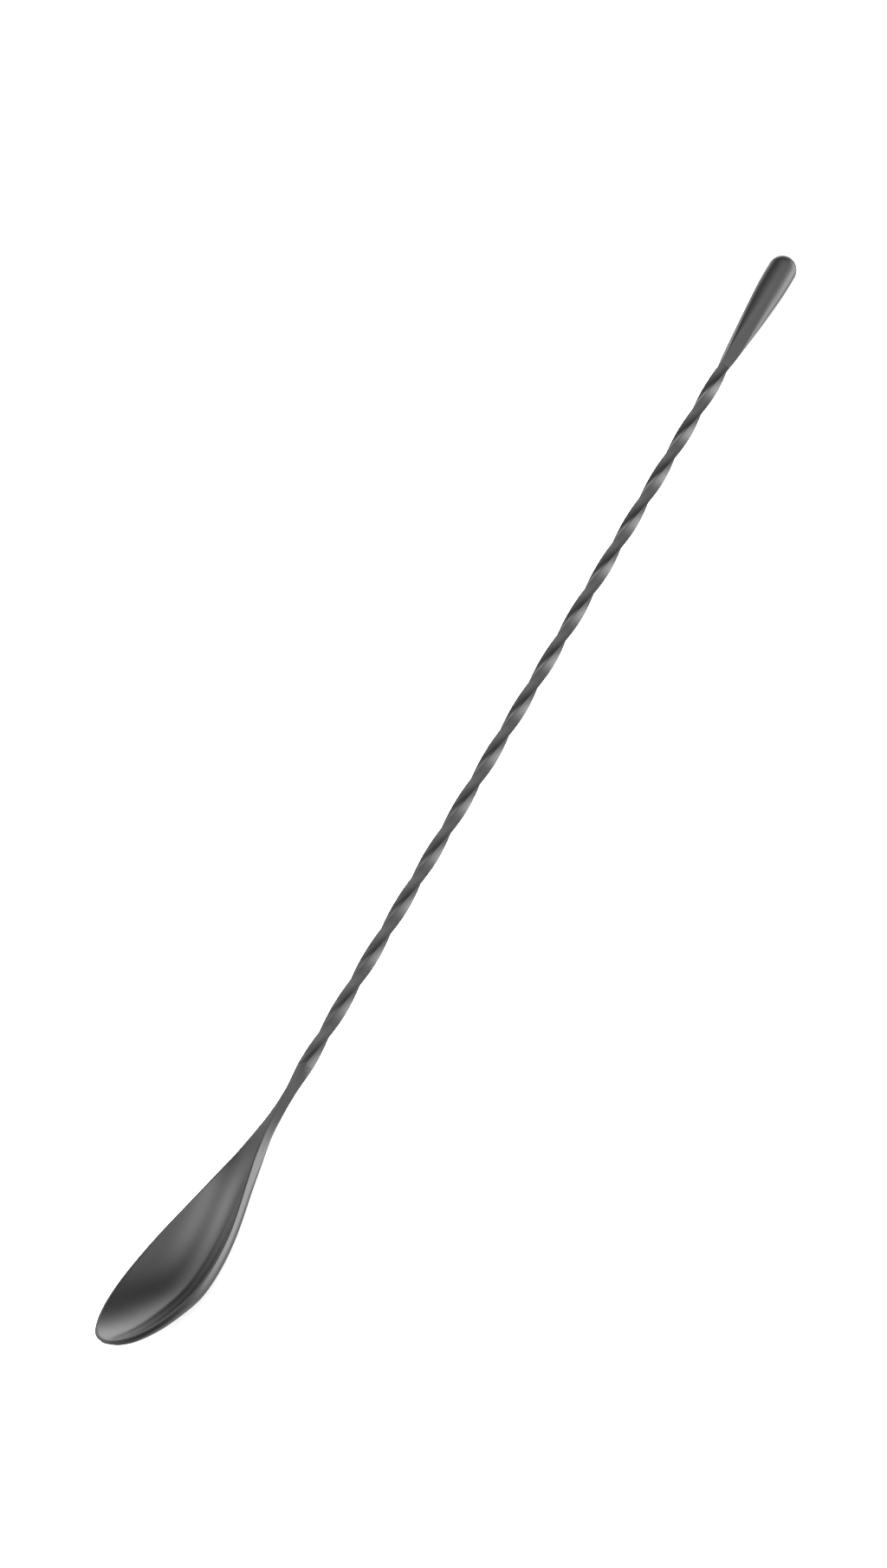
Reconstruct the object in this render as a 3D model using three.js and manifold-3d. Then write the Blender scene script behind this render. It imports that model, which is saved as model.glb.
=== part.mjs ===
// Bar spoon: a teardrop bowl and a drop-shaped end weight, brazed to the two ends of a twisted square rod.
// Millimetres. +X runs from the bowl's tip to the end weight, +Z is up and the bowl opens upwards.
// The spoon lies on the bowl's belly and the end weight, with the origin under its middle.

import * as THREE from "three";
import { mergeVertices } from "three/addons/utils/BufferGeometryUtils.js";
import Module from "manifold-3d";

const wasm = await Module();
wasm.setup();

// Driving dimensions
const TOTAL_LENGTH = 300;
const ROD_SIDE = 2.4;
const TWIST_PITCH = 53.3;
const TWIST_STEP_DEGREES = 8;
const ROD_FACE_STEPS = 2;

const BOWL_PIECE_LENGTH = 71.2;
const BOWL_HALF_WIDTH = 12.1;
const NOSE_LENGTH = 18.5;
const RIM_WIDTH = 0.55;
const RIM_WIDTH_AT_TIP = 0.7;
const DISH_DEEPEST = 4.1;
const DISH_DEEPEST_AT = 19;
const DISH_END = 52;
const DISH_LEAST = 0.05;
const DISH_OVERCUT = 1;
const DISH_STEPS = 24;

const WEIGHT_LENGTH = 34;
const WEIGHT_RADIUS = 3.37;
const END_FLAT_RADIUS = 0.9;
const TWIST_FADE = 1.5;
const AXIS_HEIGHT = WEIGHT_RADIUS;

const TENON_DIAMETER = 1.2;
const TENON_LENGTH = 5;
const TENON_ROOT = 1;
const SOCKET_DIAMETER = 1.4;
const SOCKET_DEPTH = 5.2;
const BRAZE_THICKNESS = 0.3;
const BRAZE_GAP = 0.05;
const BRAZE_OUTER_DIAMETER = 2.3;
const BRAZE_INNER_DIAMETER = 1.3;

const NOSE_STEPS = 16;
const NOSE_START_DEGREES = 2;
const SHOULDER_STEP = 1.2;
const CORNER_STEPS = 10;
const WEIGHT_STEP = 1.3;
const WEIGHT_CORNER_STEPS = 8;
const DOME_STEPS = 8;
const ROUND_STEPS = 24;

// Places along the spoon, as distances from the bowl's tip
const NECK_END = BOWL_PIECE_LENGTH;
const WEIGHT_START = TOTAL_LENGTH - WEIGHT_LENGTH;
const SHOULDER_GAP = BRAZE_THICKNESS + 2 * BRAZE_GAP;
const ROD_START = NECK_END + SHOULDER_GAP;
const ROD_END = WEIGHT_START - SHOULDER_GAP;

// Stations, each a distance from the bowl's tip and a value there
const HALF_WIDTH = [
  [0, 12.25], [10, 12.25], [NOSE_LENGTH, BOWL_HALF_WIDTH], [24, 11.5], [30, 10.1], [36, 8], [42, 5.7],
  [48, 3.5], [54, 2.1], [60, 1.45], [66, ROD_SIDE / 2], [NECK_END, ROD_SIDE / 2],
];
const RIM_HEIGHT = [
  [0, 7.6], [4, 6.2], [9, 4.9], [16, 3.45], [24, 2.45], [33, 1.8], [44, 1.55],
  [54, 1.25], [60, 0.95], [66, 1], [NECK_END, ROD_SIDE / 2],
];
const BELLY_DEPTH = [
  [0, 1.4], [2.5, 2.7], [6, 3.6], [11, 4.7], [17, 5.75], [24, 5.76], [32, 5.05], [40, 4.05],
  [47, 3.2], [54, 2.25], [60, 1.9], [66, 2.15], [NECK_END, ROD_SIDE],
];
const CORNER_SHARE = [[0, 1], [12, 0.92], [30, 0.92], [42, 0.72], [50, 0.4], [58, 0.16], [NECK_END, 0.04]];
const NECK_TURN = [[46, 0], [52, -3.5], [58, -14], [63, -24], [66, -26.5], [69, -14.5], [NECK_END, 0]];

// Stations along the end weight, as distances from its square root
const WEIGHT_HALF_WIDTH = [
  [0, ROD_SIDE / 2], [5.2, 1.66], [12.2, 2.34], [19.3, 2.95], [24, 3.25], [28, WEIGHT_RADIUS],
];
const WEIGHT_CORNER_SHARE = [[0, 0.04], [3, 0.15], [12, 0.75], [20, 1], [WEIGHT_LENGTH, 1]];

// A smooth curve through stations, whose slope at each station comes from its two neighbours
function along(stations, distance) {
  const last = stations.length - 1;
  const place = THREE.MathUtils.clamp(distance, stations[0][0], stations[last][0]);
  const next = Math.max(1, stations.findIndex(([station]) => station >= place));
  const slope = (k) => {
    const [before, valueBefore] = stations[Math.max(k - 1, 0)];
    const [after, valueAfter] = stations[Math.min(k + 1, last)];
    return (valueAfter - valueBefore) / (after - before);
  };
  const [start, startValue] = stations[next - 1];
  const [end, endValue] = stations[next];
  const step = end - start;
  const t = (place - start) / step;
  const rise = 3 * t ** 2 - 2 * t ** 3;
  const startPull = (t ** 3 - 2 * t ** 2 + t) * step * slope(next - 1);
  const endPull = (t ** 3 - t ** 2) * step * slope(next);
  return startValue * (1 - rise) + endValue * rise + startPull + endPull;
}

// Even steps from one number to another, both ends included
function evenSteps(from, to, count) {
  return Array.from({ length: count + 1 }, (_, i) => from + ((to - from) * i) / count);
}

// A distance from the bowl's tip as an X coordinate
function frameX(distance) {
  return distance - TOTAL_LENGTH / 2;
}

// A ring of 3D points from a section's [y, z] points, turned about the spoon's length at the given height
function ring(points, distance, degrees, height) {
  const angle = THREE.MathUtils.degToRad(degrees);
  const cos = Math.cos(angle);
  const sin = Math.sin(angle);
  return points.map(([y, z]) => [
    frameX(distance),
    y * cos - (z - height) * sin,
    y * sin + (z - height) * cos + height + AXIS_HEIGHT,
  ]);
}

// A closed body through rings of equal length, anticlockwise as seen from the bowl's end, with flat ends
function loft(rings) {
  const count = rings[0].length;
  const last = (rings.length - 1) * count;
  const centre = (points) => [0, 1, 2].map((k) => points.reduce((sum, p) => sum + p[k], 0) / count);
  const startCentre = last + count;
  const endCentre = startCentre + 1;
  const points = [...rings.flat(), centre(rings[0]), centre(rings[rings.length - 1])];
  const triangles = [];
  for (let i = 0; i < count; i += 1) {
    const j = (i + 1) % count;
    for (let r = 0; r < last; r += count) {
      triangles.push(r + i, r + i + count, r + j, r + j, r + i + count, r + j + count);
    }
    triangles.push(startCentre, i, j, endCentre, last + j, last + i);
  }
  const geometry = new THREE.BufferGeometry();
  geometry.setAttribute("position", new THREE.Float32BufferAttribute(points.flat(), 3));
  geometry.setIndex(triangles);
  return geometry;
}

// A solid for joining and cutting, from a closed geometry
function solid(geometry) {
  const plain = geometry.clone();
  plain.deleteAttribute("normal");
  plain.deleteAttribute("uv");
  const merged = mergeVertices(plain, 1e-4);
  const index = merged.index.array;
  const kept = [];
  for (let i = 0; i < index.length; i += 3) {
    const [a, b, c] = index.slice(i, i + 3);
    if (a !== b && b !== c && c !== a) kept.push(a, b, c);
  }
  return new wasm.Manifold(new wasm.Mesh({
    numProp: 3,
    vertProperties: new Float32Array(merged.attributes.position.array),
    triVerts: new Uint32Array(kept),
  }));
}

// The geometry of a finished solid
function geometryOf(body) {
  const { vertProperties, triVerts } = body.getMesh();
  const geometry = new THREE.BufferGeometry();
  geometry.setAttribute("position", new THREE.BufferAttribute(new Float32Array(vertProperties), 3));
  geometry.setIndex(new THREE.BufferAttribute(new Uint32Array(triVerts), 1));
  geometry.computeVertexNormals();
  return geometry;
}

// A round pin on the rod's axis, between two distances from the bowl's tip
function pin(diameter, from, to) {
  const geometry = new THREE.CylinderGeometry(diameter / 2, diameter / 2, to - from, ROUND_STEPS);
  geometry.rotateZ(-Math.PI / 2);
  geometry.translate(frameX((from + to) / 2), 0, AXIS_HEIGHT);
  return solid(geometry);
}

// The rod's turn: a right-hand twist that starts square with the bowl
function rodTurn(distance) {
  return ((distance - NECK_END) / TWIST_PITCH) * 360;
}

// An open-topped section: a flat top, straight sides and a bottom with elliptical corners
function troughSection(half, top, depth, cornerWidth, cornerDepth) {
  const corner = evenSteps(0, Math.PI / 2, CORNER_STEPS).map((angle) => [
    half - cornerWidth * (1 - Math.cos(angle)),
    top - depth + cornerDepth * (1 - Math.sin(angle)),
  ]);
  const mirrored = corner.map(([y, z]) => [-y, z]).reverse();
  return [[half, top], ...corner, ...mirrored, [-half, top]];
}

// The bowl's half width, drawn in by an inset, with an elliptical nose that starts at the given distance
function halfWidth(distance, inset, noseStart) {
  const share = Math.min((distance - noseStart) / (NOSE_LENGTH - noseStart), 1);
  return (along(HALF_WIDTH, distance) - inset) * Math.sqrt(1 - (1 - share) ** 2);
}

// Distances along the bowl that crowd together round the nose
function bowlDistances(start, end) {
  const angles = evenSteps(THREE.MathUtils.degToRad(NOSE_START_DEGREES), Math.PI / 2, NOSE_STEPS);
  const nose = angles.map((angle) => start + (NOSE_LENGTH - start) * (1 - Math.cos(angle)));
  const shoulder = evenSteps(NOSE_LENGTH, end, Math.round((end - NOSE_LENGTH) / SHOULDER_STEP));
  return [...nose, ...shoulder.slice(1)];
}

// A ring of the bowl's outside: the belly below the rim
function bellyRing(distance) {
  const half = halfWidth(distance, 0, 0);
  const top = along(RIM_HEIGHT, distance);
  const depth = along(BELLY_DEPTH, distance);
  const share = along(CORNER_SHARE, distance);
  const section = troughSection(half, top, depth, half * share, depth * share);
  return ring(section, distance, along(NECK_TURN, distance), top - depth / 2);
}

// The dish's depth down its middle: a parabola from the tip to the deepest place, then a slow rise to nothing
function dishDepth(distance) {
  const toDeepest = (distance - RIM_WIDTH_AT_TIP) / (DISH_DEEPEST_AT - RIM_WIDTH_AT_TIP);
  const toEnd = (distance - DISH_DEEPEST_AT) / (DISH_END - DISH_DEEPEST_AT);
  const share = distance < DISH_DEEPEST_AT ? 1 - (1 - toDeepest) ** 2 : Math.cos((toEnd * Math.PI) / 2) ** 2;
  return Math.max(DISH_DEEPEST * share, DISH_LEAST);
}

// A ring of the space inside the bowl, a parabola across. It runs on above the rim to cut clean through.
function dishRing(distance) {
  const half = halfWidth(distance, RIM_WIDTH, RIM_WIDTH_AT_TIP);
  const top = along(RIM_HEIGHT, distance);
  const depth = dishDepth(distance);
  const hollow = evenSteps(1, -1, DISH_STEPS).map((share) => [
    half * share,
    top - depth * (1 - share ** 2),
  ]);
  const section = [[half, top + DISH_OVERCUT], ...hollow, [-half, top + DISH_OVERCUT]];
  return ring(section, distance, along(NECK_TURN, distance), top - along(BELLY_DEPTH, distance) / 2);
}

// The bowl and its neck, one forging, with a blind socket for the rod's tenon
function bowl() {
  const belly = solid(loft(bowlDistances(0, NECK_END).map(bellyRing)));
  const dish = solid(loft(bowlDistances(RIM_WIDTH_AT_TIP, DISH_END).map(dishRing)));
  const socket = pin(SOCKET_DIAMETER, NECK_END - SOCKET_DEPTH, NECK_END + 1);
  return geometryOf(belly.subtract(dish).subtract(socket));
}

// The twisted square rod, with a round tenon standing out of each end
function stem() {
  const half = ROD_SIDE / 2;
  const corners = [[half, half], [half, -half], [-half, -half], [-half, half]];
  const section = corners.flatMap(([y, z], i) => {
    const [nextY, nextZ] = corners[(i + 1) % corners.length];
    const shares = evenSteps(0, 1, ROD_FACE_STEPS).slice(0, -1);
    return shares.map((share) => [y + (nextY - y) * share, z + (nextZ - z) * share]);
  });
  const steps = Math.round((rodTurn(ROD_END) - rodTurn(ROD_START)) / TWIST_STEP_DEGREES);
  const distances = evenSteps(ROD_START, ROD_END, steps);
  const rings = distances.map((distance) => ring(section, distance, rodTurn(distance), 0));
  const nearTenon = pin(TENON_DIAMETER, ROD_START - TENON_LENGTH, ROD_START + TENON_ROOT);
  const farTenon = pin(TENON_DIAMETER, ROD_END - TENON_ROOT, ROD_END + TENON_LENGTH);
  return geometryOf(solid(loft(rings)).add(nearTenon).add(farTenon));
}

// A square section whose corners are rounded by a share of its half width: 1 makes a circle
function roundedSquare(half, share) {
  const radius = half * share;
  const middle = half - radius;
  const quadrants = [[1, 1, 0], [1, -1, 1], [-1, -1, 2], [-1, 1, 3]];
  return quadrants.flatMap(([sideY, sideZ, turns]) => evenSteps(0, Math.PI / 2, WEIGHT_CORNER_STEPS).map((angle) => {
    const heading = Math.PI / 2 - angle - (turns * Math.PI) / 2;
    return [sideY * middle + radius * Math.cos(heading), sideZ * middle + radius * Math.sin(heading)];
  }));
}

// The end weight's turn: the rod's twist runs on into its root and dies away
function weightTurn(place) {
  const extra = (360 * TWIST_FADE) / TWIST_PITCH;
  return rodTurn(WEIGHT_START) + extra * (1 - Math.exp(-place / TWIST_FADE));
}

// The drop-shaped end weight, square at its root and round at its domed end, with a blind socket
function endWeight() {
  const domeCentre = WEIGHT_LENGTH - Math.sqrt(WEIGHT_RADIUS ** 2 - END_FLAT_RADIUS ** 2);
  const drop = evenSteps(0, domeCentre, Math.round(domeCentre / WEIGHT_STEP));
  const flatAngle = Math.acos(END_FLAT_RADIUS / WEIGHT_RADIUS);
  const dome = evenSteps(0, flatAngle, DOME_STEPS).slice(1);
  const dropRings = drop.map((place) => {
    const section = roundedSquare(along(WEIGHT_HALF_WIDTH, place), along(WEIGHT_CORNER_SHARE, place));
    return ring(section, WEIGHT_START + place, weightTurn(place), 0);
  });
  const domeRings = dome.map((angle) => {
    const section = roundedSquare(WEIGHT_RADIUS * Math.cos(angle), 1);
    const place = domeCentre + WEIGHT_RADIUS * Math.sin(angle);
    return ring(section, WEIGHT_START + place, weightTurn(place), 0);
  });
  const socket = pin(SOCKET_DIAMETER, WEIGHT_START - 1, WEIGHT_START + SOCKET_DEPTH);
  return geometryOf(solid(loft([...dropRings, ...domeRings])).subtract(socket));
}

// A ring of brazing metal round a tenon, between the two shoulders of a joint
function brazeRing() {
  const shape = new THREE.Shape().absarc(0, 0, BRAZE_OUTER_DIAMETER / 2, 0, 2 * Math.PI);
  shape.holes.push(new THREE.Path().absarc(0, 0, BRAZE_INNER_DIAMETER / 2, 0, 2 * Math.PI, true));
  const options = { depth: BRAZE_THICKNESS, bevelEnabled: false, curveSegments: ROUND_STEPS };
  return new THREE.ExtrudeGeometry(shape, options).rotateY(Math.PI / 2);
}

const coatedSteel = { color: 0x55565a, roughness: 0.38, metalness: 1 };
const brazingMetal = { color: 0x6b675f, roughness: 0.45, metalness: 1 };

const spoon = new THREE.Group();

function place(name, geometry, finish) {
  const mesh = new THREE.Mesh(geometry, new THREE.MeshStandardMaterial(finish));
  mesh.name = name;
  spoon.add(mesh);
  return mesh;
}

place("bowl", bowl(), coatedSteel);
place("stem", stem(), coatedSteel);
place("finial", endWeight(), coatedSteel);
place("neck_braze_ring", brazeRing(), brazingMetal).position.set(frameX(NECK_END + BRAZE_GAP), 0, AXIS_HEIGHT);
place("finial_braze_ring", brazeRing(), brazingMetal).position.set(frameX(ROD_END + BRAZE_GAP), 0, AXIS_HEIGHT);

export default spoon;
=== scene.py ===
# %% [markdown]
# # A bar spoon, from its frame to its finish
# This lesson builds the finished look of a long bar spoon around its engineering model. The engineering model
# gives every size and place. Blender adds the fine surfaces, the dark satin coating, the light and the camera.

# %% Load the engineering model as a fixed frame
import math

import bmesh
import bpy
from mathutils import Matrix, Vector


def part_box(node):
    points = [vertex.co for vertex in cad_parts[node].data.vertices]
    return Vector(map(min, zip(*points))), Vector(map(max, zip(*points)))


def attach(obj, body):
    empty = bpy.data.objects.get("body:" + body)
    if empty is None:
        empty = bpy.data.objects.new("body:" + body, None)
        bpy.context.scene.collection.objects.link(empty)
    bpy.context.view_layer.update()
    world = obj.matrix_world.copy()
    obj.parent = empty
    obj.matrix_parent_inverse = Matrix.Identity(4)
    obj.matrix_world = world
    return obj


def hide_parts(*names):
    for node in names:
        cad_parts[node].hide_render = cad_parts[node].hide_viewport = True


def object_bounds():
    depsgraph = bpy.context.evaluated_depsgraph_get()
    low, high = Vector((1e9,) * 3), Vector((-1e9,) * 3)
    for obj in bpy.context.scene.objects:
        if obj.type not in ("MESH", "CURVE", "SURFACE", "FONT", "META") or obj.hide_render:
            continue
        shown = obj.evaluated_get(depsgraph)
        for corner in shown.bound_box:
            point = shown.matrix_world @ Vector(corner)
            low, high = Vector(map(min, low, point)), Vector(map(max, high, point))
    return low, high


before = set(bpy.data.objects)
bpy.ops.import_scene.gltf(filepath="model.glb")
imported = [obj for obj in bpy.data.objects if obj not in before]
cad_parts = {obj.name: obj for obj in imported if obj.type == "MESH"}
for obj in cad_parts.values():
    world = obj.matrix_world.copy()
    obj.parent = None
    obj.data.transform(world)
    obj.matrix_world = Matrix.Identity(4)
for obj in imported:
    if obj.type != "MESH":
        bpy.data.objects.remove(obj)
cad_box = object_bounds()
MM = 0.001
spoon_low, spoon_high = (Vector(corner) for corner in cad_box)
TIP_X = spoon_low.x
EPSILON = 0.0001 * MM
print(f"engineering model: {(spoon_high - spoon_low).x / MM:.1f} mm long, pieces {sorted(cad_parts)}")

# %% [markdown]
# ## The camera
# A long lens flattens perspective only a little, so a long thin object still shrinks towards its far end.
# The camera is placed by the point it looks at, its distance, two angles and a roll about its own axis.
# That is easier to read and change than a position and three rotations.

# %% Place the camera
LENS_MM = 80
LOOK_AT = (-0.0085, 0.0032, 0.0080)
CAMERA_DISTANCE = 0.7427
CAMERA_AZIMUTH = -28.19
CAMERA_ELEVATION = 31.68
CAMERA_ROLL = -43.18


def camera_matrix(target, distance, azimuth, elevation, roll):
    azimuth, elevation, roll = (math.radians(angle) for angle in (azimuth, elevation, roll))
    away = Vector((
        math.sin(azimuth) * math.cos(elevation),
        -math.cos(azimuth) * math.cos(elevation),
        math.sin(elevation),
    ))
    upright = away.to_track_quat("Z", "Y").to_matrix().to_4x4()
    place = Matrix.Translation(Vector(target) + away * distance)
    return place @ upright @ Matrix.Rotation(roll, 4, "Z")


camera = bpy.data.objects.new("camera", bpy.data.cameras.new("camera"))
bpy.context.scene.collection.objects.link(camera)
camera.data.lens = LENS_MM
camera.data.clip_start = 0.01
camera.matrix_world = camera_matrix(
    LOOK_AT, CAMERA_DISTANCE, CAMERA_AZIMUTH, CAMERA_ELEVATION, CAMERA_ROLL
)
bpy.context.scene.camera = camera
print("camera at", [round(value, 3) for value in camera.matrix_world.translation])

# %% [markdown]
# ## Working by code in edit mode
# An operator acts on whatever is selected, so every step first says what it works on. These helpers pick
# points by their place, the way a hand would box-select them.

# %% Helpers for selecting by place
SMOOTH_BELOW = math.radians(50)


def new_object(name):
    """Turns the active object into a named one with a named mesh."""
    piece = bpy.context.active_object
    piece.name = name
    piece.data.name = name
    return piece


def edit(piece):
    bpy.ops.object.select_all(action="DESELECT")
    piece.select_set(True)
    bpy.context.view_layer.objects.active = piece
    bpy.ops.object.mode_set(mode="EDIT")
    bpy.ops.mesh.select_mode(type="VERT")


def select_points(piece, wanted):
    """Selects the points for which wanted(position) is true."""
    mesh = bmesh.from_edit_mesh(piece.data)
    for point in mesh.verts:
        point.select_set(wanted(point.co))
    mesh.select_flush_mode()
    bmesh.update_edit_mesh(piece.data)


def select_only(piece, chosen):
    """Selects the given edges and nothing else, and returns how many there are."""
    bpy.ops.mesh.select_all(action="DESELECT")
    for edge in chosen:
        edge.select_set(True)
    bmesh.from_edit_mesh(piece.data).select_flush_mode()
    bmesh.update_edit_mesh(piece.data)
    return len(chosen)


def apply_modifiers(piece):
    bpy.ops.object.mode_set(mode="OBJECT")
    for modifier in list(piece.modifiers):
        bpy.ops.object.modifier_apply(modifier=modifier.name)
    print(f"{piece.name}: {len(piece.data.polygons)} faces")


def settle(piece):
    """Puts the object at the origin, its place in its mesh, its faces pointing out and its shading smooth."""
    bpy.ops.object.mode_set(mode="OBJECT")
    bpy.ops.object.select_all(action="DESELECT")
    piece.select_set(True)
    bpy.context.view_layer.objects.active = piece
    bpy.ops.object.transform_apply(location=True, rotation=True, scale=True)
    edit(piece)
    bpy.ops.mesh.select_all(action="SELECT")
    bpy.ops.mesh.normals_make_consistent(inside=False)
    bpy.ops.object.mode_set(mode="OBJECT")
    bpy.ops.object.shade_smooth_by_angle(angle=SMOOTH_BELOW)
    weighted = piece.modifiers.new("flat_faces_stay_flat", "WEIGHTED_NORMAL")
    weighted.keep_sharp = True
    apply_modifiers(piece)


# %% [markdown]
# ## Sizes that the pieces share
# The stem's side and the twist's pitch are sizes of the real rod. The height of its axis, and the places
# where one piece ends and the next begins, come from the engineering model.

# %% Shared sizes
ROD_SIDE = 2.4 * MM
TWIST_PITCH = 53.3 * MM
CORNER_BREAK = 0.1 * MM
BREAK_STEPS = 3
finial_low, finial_high = (Vector(corner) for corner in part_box("finial"))
bowl_high = Vector(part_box("bowl")[1])
AXIS_Z = (finial_low.z + finial_high.z) / 2
NECK_END_X = bowl_high.x
FINIAL_START_X = finial_low.x
ring_low, ring_high = (Vector(corner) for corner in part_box("neck_braze_ring"))
SHOULDER_GAP = ring_low.x + ring_high.x - 2 * NECK_END_X
print(f"axis height {AXIS_Z / MM:.2f} mm")
print(f"neck ends at {NECK_END_X / MM:.1f} mm, finial starts at {FINIAL_START_X / MM:.1f} mm")


def smooth_value(stations, distance):
    """A smooth curve through (distance, value) stations, whose slope at each comes from its neighbours."""
    last = len(stations) - 1
    distance = min(max(distance, stations[0][0]), stations[last][0])
    after = next(k for k in range(1, last + 1) if stations[k][0] >= distance)
    before = after - 1

    def slope(k):
        low, high = stations[max(k - 1, 0)], stations[min(k + 1, last)]
        return (high[1] - low[1]) / (high[0] - low[0])

    step = stations[after][0] - stations[before][0]
    t = (distance - stations[before][0]) / step
    rise = 3 * t**2 - 2 * t**3
    pull = (t**3 - 2 * t**2 + t) * slope(before) + (t**3 - t**2) * slope(after)
    return stations[before][1] * (1 - rise) + stations[after][1] * rise + pull * step


# %% [markdown]
# ## The twisted stem
# On the real spoon a square rod is held at both ends and turned. It could be drawn as a stack of turned
# squares, but Blender can do what the maker does: a plain square bar, then a twist along its length.
# The bar's long edges are bevelled first, because a drawn rod has slightly broken corners, and the middles
# of its faces are drawn in a little, so that each face is a shallow hollow.
# The two brazed joints at its ends continue the same twist, so one recipe makes all three pieces.

# %% A recipe for a length of twisted square bar
FACE_CUTS = 5
FACE_HOLLOW = 0.1 * MM
BAR_STEP = 0.5 * MM


def select_edges(piece, wanted):
    """Selects the edges for which wanted(start, end) is true, and returns how many there are."""
    bpy.ops.mesh.select_mode(type="EDGE")
    mesh = bmesh.from_edit_mesh(piece.data)
    return select_only(piece, [edge for edge in mesh.edges if wanted(edge.verts[0].co, edge.verts[1].co)])


def twisted_bar(name, start_x, end_x):
    length = end_x - start_x
    bpy.ops.mesh.primitive_cube_add(size=1, location=(0, 0, 0))
    bar = new_object(name)
    edit(bar)
    bpy.ops.mesh.select_all(action="SELECT")
    bpy.ops.transform.resize(value=(length, ROD_SIDE, ROD_SIDE), center_override=(0, 0, 0))
    bpy.ops.transform.translate(value=(length / 2, 0, 0))

    select_edges(bar, lambda a, b: abs(a.x - b.x) > length / 2)
    bpy.ops.mesh.bevel(offset=CORNER_BREAK, segments=BREAK_STEPS, affect="EDGES")
    select_edges(bar, lambda a, b: (a - b).length > ROD_SIDE / 2 and abs(a.x - b.x) < length / 2)
    bpy.ops.mesh.subdivide(number_cuts=FACE_CUTS)
    flat_half = ROD_SIDE / 2 - CORNER_BREAK
    for k in range(-(FACE_CUTS // 2), FACE_CUTS // 2 + 1):
        share = 2 * k / (FACE_CUTS + 1)
        closer = 1 - FACE_HOLLOW / (ROD_SIDE / 2) * (1 - share**2)
        bpy.ops.mesh.select_mode(type="VERT")
        select_points(bar, lambda point: abs(min(point.y, point.z, key=abs) - share * flat_half) < EPSILON)
        bpy.ops.transform.resize(value=(1, closer, closer), center_override=(0, 0, 0))
    cuts = max(math.ceil(length / BAR_STEP) - 1, 1)
    select_edges(bar, lambda a, b: abs(a.x - b.x) > length / 2)
    bpy.ops.mesh.subdivide(number_cuts=cuts)
    bpy.ops.object.mode_set(mode="OBJECT")

    twist = bar.modifiers.new("twist", "SIMPLE_DEFORM")
    twist.deform_method = "TWIST"
    twist.deform_axis = "X"
    twist.angle = length / TWIST_PITCH * math.tau
    apply_modifiers(bar)
    bar.location = (start_x, 0, AXIS_Z)
    bar.rotation_euler.x = (start_x - NECK_END_X) / TWIST_PITCH * math.tau
    settle(bar)
    return bar


# %% Make the stem and its two joints
stem_start_x = NECK_END_X + SHOULDER_GAP
stem_end_x = FINIAL_START_X - SHOULDER_GAP
neck_joint = twisted_bar("neck_joint", NECK_END_X, stem_start_x)
stem = twisted_bar("twisted_stem", stem_start_x, stem_end_x)
finial_joint = twisted_bar("finial_joint", stem_end_x, FINIAL_START_X)
for piece, node in ((neck_joint, "neck_braze_ring"), (stem, "stem"), (finial_joint, "finial_braze_ring")):
    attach(piece, "root")
    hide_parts(node)

# %% [markdown]
# ## The end weight
# The weight starts as square as the stem and swells into a round, domed drop. The solid is drawn as a row
# of squares along its length. Each square's corners are bevelled a little more than the last one's, until
# the square is a circle, and neighbouring outlines are bridged. A lathe could make the round end, but not
# the square root, and the bridged outlines make both.

# %% Estimated stations along the weight, each a distance from its root and a value there, in mm
WEIGHT_HALF_WIDTH = [(0, 1.2), (5.2, 1.66), (12.2, 2.34), (19.3, 2.95), (24, 3.25), (28, 3.37)]
NEARLY_ROUND = 0.985
WEIGHT_CORNER_SHARE = [(0, 0.067), (3, 0.15), (12, 0.75), (20, NEARLY_ROUND)]
END_FLAT_RADIUS = 0.9
CORNER_POINTS = 8
DROP_RINGS = 44
ROOT_CROWDING = 1.3
DOME_RINGS = 14

weight_length = (finial_high.x - finial_low.x) / MM
weight_radius = (finial_high.z - finial_low.z) / 2 / MM
dome_centre = weight_length - math.sqrt(weight_radius**2 - END_FLAT_RADIUS**2)
flat_angle = math.acos(END_FLAT_RADIUS / weight_radius)

outlines = []
for k in range(DROP_RINGS + 1):
    place = dome_centre * (k / DROP_RINGS) ** ROOT_CROWDING
    half = min(smooth_value(WEIGHT_HALF_WIDTH, place), weight_radius)
    outlines.append((place, half, smooth_value(WEIGHT_CORNER_SHARE, place)))
for k in range(1, DOME_RINGS + 1):
    angle = flat_angle * k / DOME_RINGS
    place = dome_centre + weight_radius * math.sin(angle)
    outlines.append((place, weight_radius * math.cos(angle), NEARLY_ROUND))
print(f"{len(outlines)} outlines over {weight_length:.1f} mm, radius {weight_radius:.2f} mm")

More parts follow.
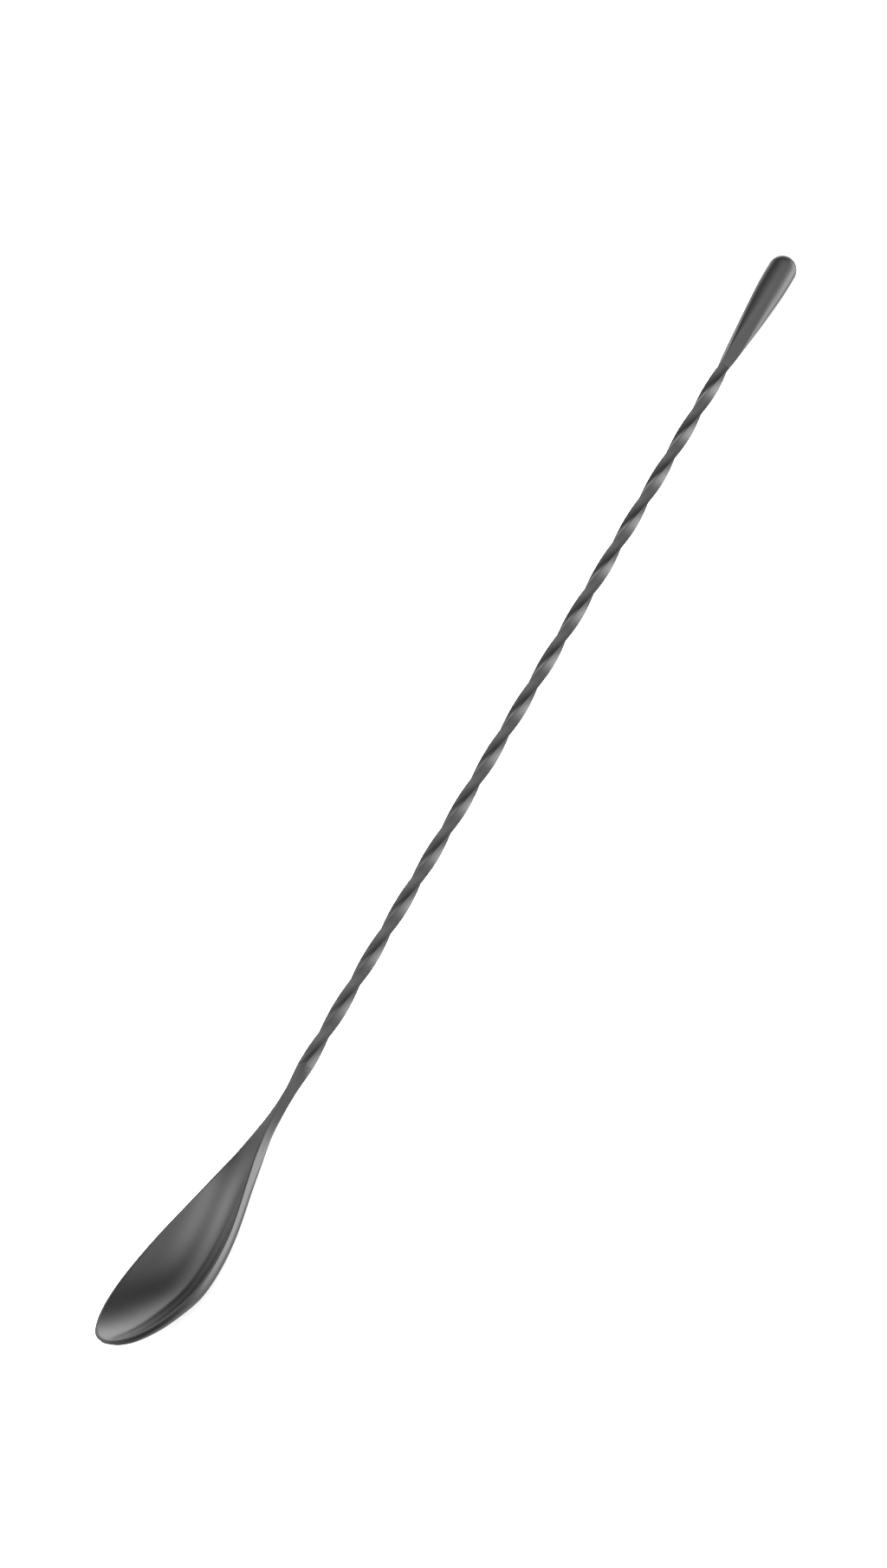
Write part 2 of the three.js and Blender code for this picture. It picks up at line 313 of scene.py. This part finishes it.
# %% Draw the outlines and bridge them
# The twist doesn't stop dead at the weight: it dies away over its first few millimetres.
TWIST_FADE = 1.5 * MM
root_turn = (FINIAL_START_X - NECK_END_X) / TWIST_PITCH * math.tau
bpy.ops.mesh.primitive_plane_add(size=1, location=(0, 0, 0))
weight = new_object("end_weight")
edit(weight)
bpy.ops.mesh.select_all(action="SELECT")
bpy.ops.mesh.delete(type="VERT")
for k, (place, half, share) in enumerate(outlines):
    x = FINIAL_START_X + place * MM
    bpy.ops.mesh.primitive_plane_add(size=2 * half * MM, location=(x, 0, AXIS_Z), rotation=(0, math.pi / 2, 0))
    turn = root_turn + TWIST_FADE / TWIST_PITCH * math.tau * (1 - math.exp(-place * MM / TWIST_FADE))
    bpy.ops.transform.rotate(value=-turn, orient_axis="X", center_override=(x, 0, AXIS_Z))
    bpy.ops.mesh.bevel(affect="VERTICES", offset=share * half * MM, segments=CORNER_POINTS)
    if 0 < k < len(outlines) - 1:
        bpy.ops.mesh.delete(type="ONLY_FACE")
    if k > 0:
        low_x = FINIAL_START_X + outlines[k - 1][0] * MM - EPSILON
        select_edges(weight, lambda a, b: min(a.x, b.x) > low_x and abs(a.x - b.x) < EPSILON)
        bpy.ops.mesh.bridge_edge_loops()
settle(weight)
print("end weight:", [round(value / MM, 2) for value in weight.dimensions])
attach(weight, "root")
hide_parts("finial")

# %% [markdown]
# ## The bowl and its neck
# A maker forges the bowl from the thickened end of a bar: a shallow dish that deepens towards the middle,
# an outside that follows it, and a thin flat rim between them. Two of Blender's flat grids make it here,
# one for the inside and one for the outside. A grid's front edge becomes the rim round the tip, and its
# other end becomes the neck. Scaling whole rows by hand is too coarse for an outline that keeps changing
# along its length, so a short function moves each grid point instead. The edge is then extruded up to the
# rim, and bridged. The dish's depth needs no list of stations: a parabola and a cosine give it.

# %% Estimated stations along the bowl, each a distance from its tip and a value there, in mm
NOSE_LENGTH = 18.5
RIM_WIDTH = 0.55
RIM_WIDTH_AT_TIP = 0.7
NECK_END = (NECK_END_X - TIP_X) / MM
HALF_WIDTH = [
    (0, 12.2), (10, 12.2), (18.5, 12.09), (24, 11.5), (30, 10.1), (36, 8), (42, 5.7),
    (48, 3.5), (54, 2.1), (60, 1.45), (66, 1.2), (71.2, 1.2),
]
RIM_HEIGHT = [
    (0, 7.6), (4, 6.2), (9, 4.9), (16, 3.45), (24, 2.45), (33, 1.8), (44, 1.55),
    (54, 1.25), (60, 0.95), (66, 1), (71.2, 1.2),
]
BELLY_DEPTH = [
    (0, 0.9), (0.5, 1.4), (1.2, 1.9), (2.5, 2.6), (6, 3.6), (11, 4.7), (17, 5.74), (24, 5.74), (32, 5.04),
    (40, 4.05), (47, 3.2), (54, 2.25), (60, 1.9), (66, 2.15), (71.2, 2.4),
]
ROUND_SHARE = [
    (0, 0.02), (1.5, 0.5), (4, 0.75), (9, 0.88), (14, 0.92), (30, 0.92), (42, 0.72), (50, 0.4),
    (58, 0.16), (66, 0.1), (71.2, 0.083),
]
DISH_DEEPEST = 4.1
DISH_DEEPEST_AT = 19
DISH_END = 52
NECK_TURN = [(46, 0), (52, -3.5), (58, -14), (63, -24), (66, -26.5), (69, -14.5), (71.2, 0)]
print(f"bowl and neck {NECK_END:.1f} mm long, dish {DISH_DEEPEST} mm deep at {DISH_DEEPEST_AT} mm")

# %% Where each grid point goes
NOSE_ROWS = 30
SHOULDER_ROWS = 84
ROWS = NOSE_ROWS + SHOULDER_ROWS
COLUMNS = 40
CORNER_COLUMNS = 0.4


def bottom_across(u, share):
    """How far across the outside a column lies. Columns crowd together where the bottom turns up."""
    arc_columns = max(share * math.pi / 2 / (share * math.pi / 2 + 1 - share), CORNER_COLUMNS)
    from_edge = 1 - abs(u)
    if from_edge < arc_columns:
        across = 1 - share * (1 - math.cos(from_edge / arc_columns * math.pi / 2))
    else:
        across = (1 - share) * (1 - from_edge) / (1 - arc_columns)
    return math.copysign(across, u)


def bottom_depth(across, share):
    """The depth below the rim there, as a share of the full depth: elliptical corners and a flat middle."""
    into_corner = max((abs(across) - (1 - share)) / share, 0)
    return 1 - share + share * math.sqrt(max(1 - into_corner**2, 0))


def plan_point(row, u, crowd, start):
    """A column and row as a distance from the tip and a share of the half width. The nose is half a disc."""
    if row >= NOSE_ROWS:
        distance = NOSE_LENGTH + (NECK_END - NOSE_LENGTH) * (row - NOSE_ROWS) / SHOULDER_ROWS
        return distance, crowd(u, distance)
    forward = abs(crowd(1 - row / NOSE_ROWS, NOSE_LENGTH))
    sideways = crowd(u, NOSE_LENGTH)
    ahead = forward * math.sqrt(1 - sideways**2 / 2)
    beside = sideways * math.sqrt(1 - forward**2 / 2)
    distance = start + (NOSE_LENGTH - start) * (1 - ahead)
    return distance, beside / max(math.sqrt(max(1 - ahead**2, 0)), 1e-6)


def half_width(distance, inset, start):
    nose = min((distance - start) / (NOSE_LENGTH - start), 1)
    return (smooth_value(HALF_WIDTH, distance) - inset) * math.sqrt(max(1 - (1 - nose) ** 2, 0))


def neck_turned(distance, y, z):
    """Turns a point about the middle of the neck, and gives its place in the frame."""
    top = smooth_value(RIM_HEIGHT, distance)
    middle = top - smooth_value(BELLY_DEPTH, distance) / 2
    turn = math.radians(smooth_value(NECK_TURN, distance))
    away = z - middle
    return Vector((
        TIP_X + distance * MM,
        (y * math.cos(turn) - away * math.sin(turn)) * MM,
        AXIS_Z + (middle + y * math.sin(turn) + away * math.cos(turn)) * MM,
    ))


def outside_point(row, u):
    distance, across = plan_point(row, u, lambda c, d: bottom_across(c, smooth_value(ROUND_SHARE, d)), 0)
    across = min(max(across, -1), 1)
    depth = smooth_value(BELLY_DEPTH, distance) * bottom_depth(across, smooth_value(ROUND_SHARE, distance))
    top = smooth_value(RIM_HEIGHT, distance)
    return neck_turned(distance, half_width(distance, 0, 0) * across, top - depth)


def dish_depth(distance):
    """A parabola from the tip to the dish's deepest place, then a slow rise to nothing."""
    if distance < DISH_DEEPEST_AT:
        to_deepest = (distance - RIM_WIDTH_AT_TIP) / (DISH_DEEPEST_AT - RIM_WIDTH_AT_TIP)
        return DISH_DEEPEST * (1 - (1 - max(to_deepest, 0)) ** 2)
    to_end = min((distance - DISH_DEEPEST_AT) / (DISH_END - DISH_DEEPEST_AT), 1)
    return DISH_DEEPEST * math.cos(to_end * math.pi / 2) ** 2


def inside_point(row, u):
    distance, across = plan_point(row, u, lambda c, d: c, RIM_WIDTH_AT_TIP)
    across = min(max(across, -1), 1)
    depth = dish_depth(distance) * (1 - across**2)
    top = smooth_value(RIM_HEIGHT, distance)
    return neck_turned(distance, half_width(distance, RIM_WIDTH, RIM_WIDTH_AT_TIP) * across, top - depth)


def outer_rim_point(place):
    """The place on the rim's outer edge straight above a point on the outside's edge."""
    distance = (place.x - TIP_X) / MM
    half = half_width(min(max(distance, 0), NECK_END), 0, 0)
    return neck_turned(distance, math.copysign(half, place.y), smooth_value(RIM_HEIGHT, distance))


def move_selected(piece, place):
    mesh = bmesh.from_edit_mesh(piece.data)
    moved = [point for point in mesh.verts if point.select]
    for point in moved:
        point.co = place(point.co)
    bmesh.update_edit_mesh(piece.data)
    return len(moved)


def grid_place(shape):
    """Reads a flat grid's own coordinates as a row number and a column from -1 to 1."""
    return lambda co: shape(round((co.x + 1) / 2 * ROWS), co.y)


# %% Shape the outside and the inside
bpy.ops.mesh.primitive_grid_add(x_subdivisions=ROWS, y_subdivisions=COLUMNS, size=2, location=(0, 0, 0))
bowl = new_object("bowl_and_neck")
edit(bowl)
bpy.ops.mesh.select_all(action="SELECT")
bpy.ops.mesh.duplicate()
print("inside points:", move_selected(bowl, grid_place(inside_point)))
bpy.ops.mesh.select_all(action="INVERT")
print("outside points:", move_selected(bowl, grid_place(outside_point)))

# %% Raise the outside's edge to the rim
before_end_x = NECK_END_X - EPSILON


def select_free_edges(piece, among_selected=False):
    """Selects the sheets' free edges, but not those across the neck's end."""
    mesh = bmesh.from_edit_mesh(piece.data)
    chosen = [
        edge for edge in mesh.edges
        if edge.is_boundary and min(point.co.x for point in edge.verts) < before_end_x
        and (not among_selected or all(point.select for point in edge.verts))
    ]
    bpy.ops.mesh.select_mode(type="EDGE")
    return select_only(piece, chosen)


WALL_CUTS = 4


def select_upright_edges(piece):
    """Selects the edges that lead from a selected point to one that isn't."""
    mesh = bmesh.from_edit_mesh(piece.data)
    return select_only(piece, [edge for edge in mesh.edges if edge.verts[0].select != edge.verts[1].select])


print("edges raised:", select_free_edges(bowl, among_selected=True))
bpy.ops.mesh.extrude_edges_move()
print("rim points:", move_selected(bowl, outer_rim_point))
print("wall edges cut:", select_upright_edges(bowl))
bpy.ops.mesh.subdivide(number_cuts=WALL_CUTS)

# %% Bridge the rim and close the neck's end
print("edges bridged:", select_free_edges(bowl))
bpy.ops.mesh.bridge_edge_loops()
bpy.ops.mesh.select_all(action="DESELECT")
bpy.ops.mesh.select_non_manifold(
    use_wire=False, use_multi_face=False, use_non_contiguous=False, use_verts=False
)
bpy.ops.mesh.edge_face_add()
bpy.ops.mesh.select_all(action="SELECT")
bpy.ops.mesh.normals_make_consistent(inside=False)

# %% Break the rim's edges
DISH_EDGE_END_X = TIP_X + 46 * MM


def rim_edge(inset, start, end_x):
    """Finds edges that run along the rim's inner or outer edge."""

    def on_rim(place):
        distance = (place.x - TIP_X) / MM
        if distance < start - 0.001 or place.x > end_x:
            return False
        half = half_width(min(max(distance, start), NECK_END), inset, start)
        ideal = neck_turned(distance, math.copysign(half, place.y), smooth_value(RIM_HEIGHT, distance))
        return (place - ideal).length < 2 * EPSILON

    return lambda a, b: on_rim(a) and on_rim(b) and abs(a.x - b.x) + abs(a.y - b.y) > EPSILON


for inset, start, end_x in ((0, 0, 1), (RIM_WIDTH, RIM_WIDTH_AT_TIP, DISH_EDGE_END_X)):
    count = select_edges(bowl, rim_edge(inset, start, end_x))
    bpy.ops.mesh.bevel(offset=CORNER_BREAK, segments=BREAK_STEPS, affect="EDGES", clamp_overlap=False)
    print(f"rim edges broken, {inset} mm in: {count}")
settle(bowl)
print("bowl:", [round(value / MM, 2) for value in bowl.dimensions])
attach(bowl, "root")
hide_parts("bowl")

# %% [markdown]
# ## The finish
# The whole spoon wears one thin, hard, dark coating over satin-blasted steel. It mirrors softly, so its
# colour is the colour of what stands round it. Three things keep it from looking like plastic: a fine
# grain of blasting pits, slow changes in how soft the mirror is, and faint marks from handling. One node
# group makes these three as plain values, and each material feeds them to its own metal shader. The grain
# could be a picture wrapped round the spoon, but noise in the object's own coordinates needs no unwrapping
# and stays as fine on the bowl as on the stem. The joints get a slightly rougher copy of the same finish.

# %% A node group for the satin grain
GRAIN_PER_METRE = 5200
SMUDGE_PER_METRE = 160


def add_node(tree, kind, settings=(), values=(), place=(0, 0)):
    node = tree.nodes.new(kind)
    node.location = place
    for key, value in dict(settings).items():
        setattr(node, key, value)
    for key, value in dict(values).items():
        node.inputs[key].default_value = value
    return node


def satin_grain_group():
    group = bpy.data.node_groups.new("satin_grain", "ShaderNodeTree")
    sockets = group.interface
    sockets.new_socket("Smallest Roughness", in_out="INPUT", socket_type="NodeSocketFloat")
    sockets.new_socket("Largest Roughness", in_out="INPUT", socket_type="NodeSocketFloat")
    sockets.new_socket("Grain Strength", in_out="INPUT", socket_type="NodeSocketFloat")
    sockets.new_socket("Roughness", in_out="OUTPUT", socket_type="NodeSocketFloat")
    sockets.new_socket("Tone", in_out="OUTPUT", socket_type="NodeSocketFloat")
    sockets.new_socket("Normal", in_out="OUTPUT", socket_type="NodeSocketVector")

    start = add_node(group, "NodeGroupInput", place=(-900, 0))
    end = add_node(group, "NodeGroupOutput", place=(500, 0))
    place = add_node(group, "ShaderNodeTexCoord", place=(-900, -300))
    smudges = add_node(
        group, "ShaderNodeTexNoise",
        values={"Scale": SMUDGE_PER_METRE, "Detail": 4, "Roughness": 0.6}, place=(-650, 200),
    )
    grain = add_node(
        group, "ShaderNodeTexNoise",
        values={"Scale": GRAIN_PER_METRE, "Detail": 3, "Roughness": 0.65}, place=(-650, -200),
    )
    softness = add_node(
        group, "ShaderNodeMapRange", values={"From Min": 0.3, "From Max": 0.7}, place=(-350, 200),
    )
    tone = add_node(
        group, "ShaderNodeMapRange",
        values={"From Min": 0.3, "From Max": 0.7, "To Min": 0.94, "To Max": 1.06}, place=(-350, 0),
    )
    bump = add_node(group, "ShaderNodeBump", values={"Distance": 0.00002}, place=(-350, -300))
    link = group.links.new
    link(place.outputs["Object"], smudges.inputs["Vector"])
    link(place.outputs["Object"], grain.inputs["Vector"])
    link(smudges.outputs["Fac"], softness.inputs["Value"])
    link(start.outputs["Smallest Roughness"], softness.inputs["To Min"])
    link(start.outputs["Largest Roughness"], softness.inputs["To Max"])
    link(grain.outputs["Fac"], tone.inputs["Value"])
    link(grain.outputs["Fac"], bump.inputs["Height"])
    link(start.outputs["Grain Strength"], bump.inputs["Strength"])
    link(softness.outputs["Result"], end.inputs["Roughness"])
    link(tone.outputs["Result"], end.inputs["Tone"])
    link(bump.outputs["Normal"], end.inputs["Normal"])
    return group


satin_grain = satin_grain_group()
print("sockets of the grain group:", [item.name for item in satin_grain.interface.items_tree])

# %% The two coated metals


def coated_metal(name, tint, smallest, largest, grain_strength):
    material = bpy.data.materials.new(name)
    material.use_nodes = True
    tree = material.node_tree
    shader = tree.nodes["Principled BSDF"]
    shader.inputs["Metallic"].default_value = 1
    grain = add_node(
        tree, "ShaderNodeGroup", settings={"node_tree": satin_grain},
        values={"Smallest Roughness": smallest, "Largest Roughness": largest, "Grain Strength": grain_strength},
        place=(-700, 0),
    )
    colour = add_node(tree, "ShaderNodeVectorMath", settings={"operation": "SCALE"}, place=(-400, 200))
    colour.inputs[0].default_value = tint
    tree.links.new(grain.outputs["Tone"], colour.inputs["Scale"])
    tree.links.new(colour.outputs["Vector"], shader.inputs["Base Color"])
    tree.links.new(grain.outputs["Roughness"], shader.inputs["Roughness"])
    tree.links.new(grain.outputs["Normal"], shader.inputs["Normal"])
    return material


STEEL_TINT = (0.30, 0.30, 0.30)
coated_steel = coated_metal("coated_steel", STEEL_TINT, 0.12, 0.17, 0.2)
coated_braze = coated_metal("coated_braze", STEEL_TINT, 0.13, 0.18, 0.2)
for piece in (bowl, stem, weight):
    piece.data.materials.append(coated_steel)
for piece in (neck_joint, finial_joint):
    piece.data.materials.append(coated_braze)
print("metals:", [material.name for material in (coated_steel, coated_braze)])

# %% [markdown]
# ## The studio
# A satin mirror is lit by what it reflects. A studio stands soft white panels round shiny metal and leaves
# dark gaps between them, and the gaps draw the shape. Here the panels are painted on the world as soft
# round glows: each has a direction, a sharpness and a strength. Real lamps would do too, but each would
# need its own size, place and falloff, and a glow on the world needs only these three. The floor is plain
# pale paper. It is hidden from mirror reflections, so the metal shows the panels below it, as it would on
# a sheet of clear glass.

# %% The panels
# A high panel and a back panel fill the dish, two low panels draw the outside and the weight, a level one
# makes the stem's bright faces, and a wide weak one in front keeps the rest from going black.
PANELS = [
    # name, azimuth from +X, height above the horizon, sharpness, strength
    ("overhead", 100, 75, 20, 0.5),
    ("back", 105, 30, 12, 1.1),
    ("low_front", -30, -40, 6, 1.2),
    ("level_end", 40, 0, 10, 1.0),
    ("beneath", 130, -60, 5, 0.4),
    ("wide_front", -90, 40, 2.5, 0.5),
]
ROOM_GLOW = 0.01


def soft_panel_group():
    group = bpy.data.node_groups.new("soft_panel", "ShaderNodeTree")
    sockets = group.interface
    sockets.new_socket("Looking", in_out="INPUT", socket_type="NodeSocketVector")
    sockets.new_socket("Towards", in_out="INPUT", socket_type="NodeSocketVector")
    sockets.new_socket("Sharpness", in_out="INPUT", socket_type="NodeSocketFloat")
    sockets.new_socket("Strength", in_out="INPUT", socket_type="NodeSocketFloat")
    sockets.new_socket("Glow", in_out="OUTPUT", socket_type="NodeSocketFloat")
    start = add_node(group, "NodeGroupInput", place=(-800, 0))
    end = add_node(group, "NodeGroupOutput", place=(300, 0))
    facing = add_node(group, "ShaderNodeVectorMath", settings={"operation": "DOT_PRODUCT"}, place=(-600, 100))
    below_one = add_node(group, "ShaderNodeMath", settings={"operation": "SUBTRACT"}, place=(-420, 100))
    below_one.inputs[1].default_value = 1
    sharpened = add_node(group, "ShaderNodeMath", settings={"operation": "MULTIPLY"}, place=(-240, 100))
    falloff = add_node(group, "ShaderNodeMath", settings={"operation": "EXPONENT"}, place=(-60, 100))
    glow = add_node(group, "ShaderNodeMath", settings={"operation": "MULTIPLY"}, place=(120, 100))
    link = group.links.new
    link(start.outputs["Looking"], facing.inputs[0])
    link(start.outputs["Towards"], facing.inputs[1])
    link(facing.outputs["Value"], below_one.inputs[0])
    link(below_one.outputs["Value"], sharpened.inputs[0])
    link(start.outputs["Sharpness"], sharpened.inputs[1])
    link(sharpened.outputs["Value"], falloff.inputs[0])
    link(falloff.outputs["Value"], glow.inputs[0])
    link(start.outputs["Strength"], glow.inputs[1])
    link(glow.outputs["Value"], end.inputs["Glow"])
    return group


def towards(azimuth, height):
    azimuth, height = math.radians(azimuth), math.radians(height)
    return (math.cos(height) * math.cos(azimuth), math.cos(height) * math.sin(azimuth), math.sin(height))


soft_panel = soft_panel_group()
world = bpy.data.worlds.new("studio")
bpy.context.scene.world = world
world.use_nodes = True
sky = world.node_tree
background = sky.nodes["Background"]
looking = add_node(sky, "ShaderNodeTexCoord", place=(-900, 0))
total = None
for k, (name, azimuth, height, sharpness, strength) in enumerate(PANELS):
    panel = add_node(
        sky, "ShaderNodeGroup", settings={"node_tree": soft_panel, "label": name},
        values={"Towards": towards(azimuth, height), "Sharpness": sharpness, "Strength": strength},
        place=(-600, 200 - 160 * k),
    )
    sky.links.new(looking.outputs["Generated"], panel.inputs["Looking"])
    adder = add_node(sky, "ShaderNodeMath", settings={"operation": "ADD"}, place=(-350, 200 - 160 * k))
    adder.inputs[1].default_value = ROOM_GLOW
    sky.links.new(panel.outputs["Glow"], adder.inputs[0])
    if total:
        sky.links.new(total, adder.inputs[1])
    total = adder.outputs["Value"]
sky.links.new(total, background.inputs["Color"])
print(f"{len(PANELS)} panels on the world, each a direction, a sharpness and a strength")

# %% [markdown]
# ## The floor
# The spoon lies on a wide sheet of white paper. A very large, soft light hangs over it, so that the shadow
# under the spoon is faint. The paper also glows a little, which is how a picture of a product on white looks
# when its background is lit from behind. Neither the light nor the paper shows in the metal.

# %% The floor and the light that whitens it
FLOOR_SIZE = 6
PAPER_WHITE = (0.9, 0.9, 0.9, 1)
PAPER_GLOW = 0.8
bpy.ops.mesh.primitive_plane_add(size=FLOOR_SIZE, location=(0, 0, 0))
floor = new_object("floor")
paper = bpy.data.materials.new("paper")
paper.use_nodes = True
paper_shader = paper.node_tree.nodes["Principled BSDF"]
paper_shader.inputs["Base Color"].default_value = PAPER_WHITE
paper_shader.inputs["Roughness"].default_value = 0.9
paper_shader.inputs["Specular IOR Level"].default_value = 0
paper_shader.inputs["Emission Color"].default_value = (1, 1, 1, 1)
paper_shader.inputs["Emission Strength"].default_value = PAPER_GLOW
floor.data.materials.append(paper)
floor.visible_glossy = False

KEY_SIZE = 3
KEY_HEIGHT = 1.2
KEY_WATTS = 110
key_light = bpy.data.lights.new("key", "AREA")
key_light.size = KEY_SIZE
key_light.energy = KEY_WATTS
key = bpy.data.objects.new("key", key_light)
key.location = (0, 0, KEY_HEIGHT)
key.visible_glossy = False
bpy.context.scene.collection.objects.link(key)
bpy.context.scene.view_settings.view_transform = "Standard"
print(f"floor {FLOOR_SIZE} m across, key light {KEY_SIZE} m across and {KEY_WATTS} W")
